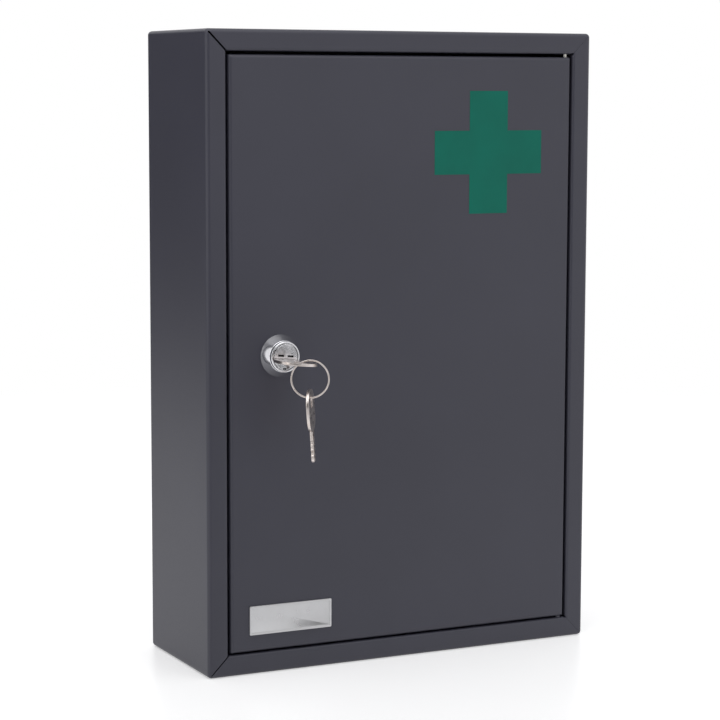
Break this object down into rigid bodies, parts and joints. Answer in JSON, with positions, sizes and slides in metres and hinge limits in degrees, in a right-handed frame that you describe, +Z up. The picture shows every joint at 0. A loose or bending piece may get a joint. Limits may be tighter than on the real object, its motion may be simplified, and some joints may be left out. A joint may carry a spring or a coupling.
{
  "type": "lockable medicine cabinet",
  "caption": "Wall-mounted steel medicine cabinet with a flush hinged door, keyed cam lock and loose shelves.",
  "frame": {"origin": "centre of the cabinet's base, on the underside", "axes": "+Z up, +Y towards the wall behind the cabinet, +X to the right as seen from the front"},
  "size_m": [0.305, 0.1585, 0.45],
  "materials": {
    "powder_coat": "fine-textured satin powder coat, dark grey",
    "bare_steel": "zinc-plated",
    "chrome": "polished chrome",
    "nickel": "nickel-plated, lightly worn",
    "brass": "stamped",
    "rubber": "matte",
    "green_vinyl": "satin vinyl film",
    "plate_silver": "bright satin"
  },
  "bodies": {
    "cabinet": {"body_shell": "powder_coat", "top_panel": "powder_coat", "bottom_panel": "powder_coat", "hinge_pin_top": "bare_steel", "hinge_pin_bottom": "bare_steel", "hinge_washer": "powder_coat", "door_stops": "powder_coat", "door_bumpers": "rubber", "shelf_brackets": "powder_coat"},
    "door": {"door_panel": "powder_coat", "door_hinge_bushes": "bare_steel", "lock_collar": "chrome", "lock_housing": "chrome", "lock_washer": "bare_steel", "lock_nut": "bare_steel", "nameplate": "plate_silver", "cross_decal": "green_vinyl"},
    "plug": {"lock_plug": "chrome", "lock_wafers": "brass", "wafer_springs": "bare_steel", "cam_stop_washer": "bare_steel", "lock_cam": "bare_steel", "cam_lock_washer": "bare_steel", "cam_screw": "bare_steel"},
    "key": {"key_in_lock": "nickel"},
    "ring": {"key_ring": "nickel"},
    "spare": {"spare_key": "nickel"},
    "lower_shelf": {"shelf_lower": "powder_coat"},
    "upper_shelf": {"shelf_upper": "powder_coat"}
  },
  "joints": [
    {"name": "door_hinge", "type": "hinge", "parent": "cabinet", "child": "door", "pos_m": [0.1325, -0.0515, 0.225], "axis": [0, 0, 1], "range_deg": [0, 110]},
    {"name": "lock_turn", "type": "hinge", "parent": "door", "child": "plug", "pos_m": [-0.098, -0.052, 0.225], "axis": [0, 1, 0], "range_deg": [-6, 84]},
    {"name": "key_pull", "type": "slide", "parent": "plug", "child": "key", "axis": [0, -1, 0], "range_m": [0, 0.022]},
    {"name": "ring_swing", "type": "hinge", "parent": "key", "child": "ring", "pos_m": [-0.09155, -0.0909, 0.22521], "axis": [-0.891, 0.454, 0], "range_deg": [-20, 30]},
    {"name": "spare_key_swing", "type": "hinge", "parent": "ring", "child": "spare", "pos_m": [-0.09155, -0.0909, 0.19941], "axis": [-0.891, 0.454, 0], "range_deg": [-10, 45]},
    {"name": "lower_shelf_lift", "type": "slide", "parent": "cabinet", "child": "lower_shelf", "axis": [0, 0, 1], "range_m": [0, 0.01]},
    {"name": "upper_shelf_lift", "type": "slide", "parent": "cabinet", "child": "upper_shelf", "axis": [0, 0, 1], "range_m": [0, 0.01]}
  ]
}
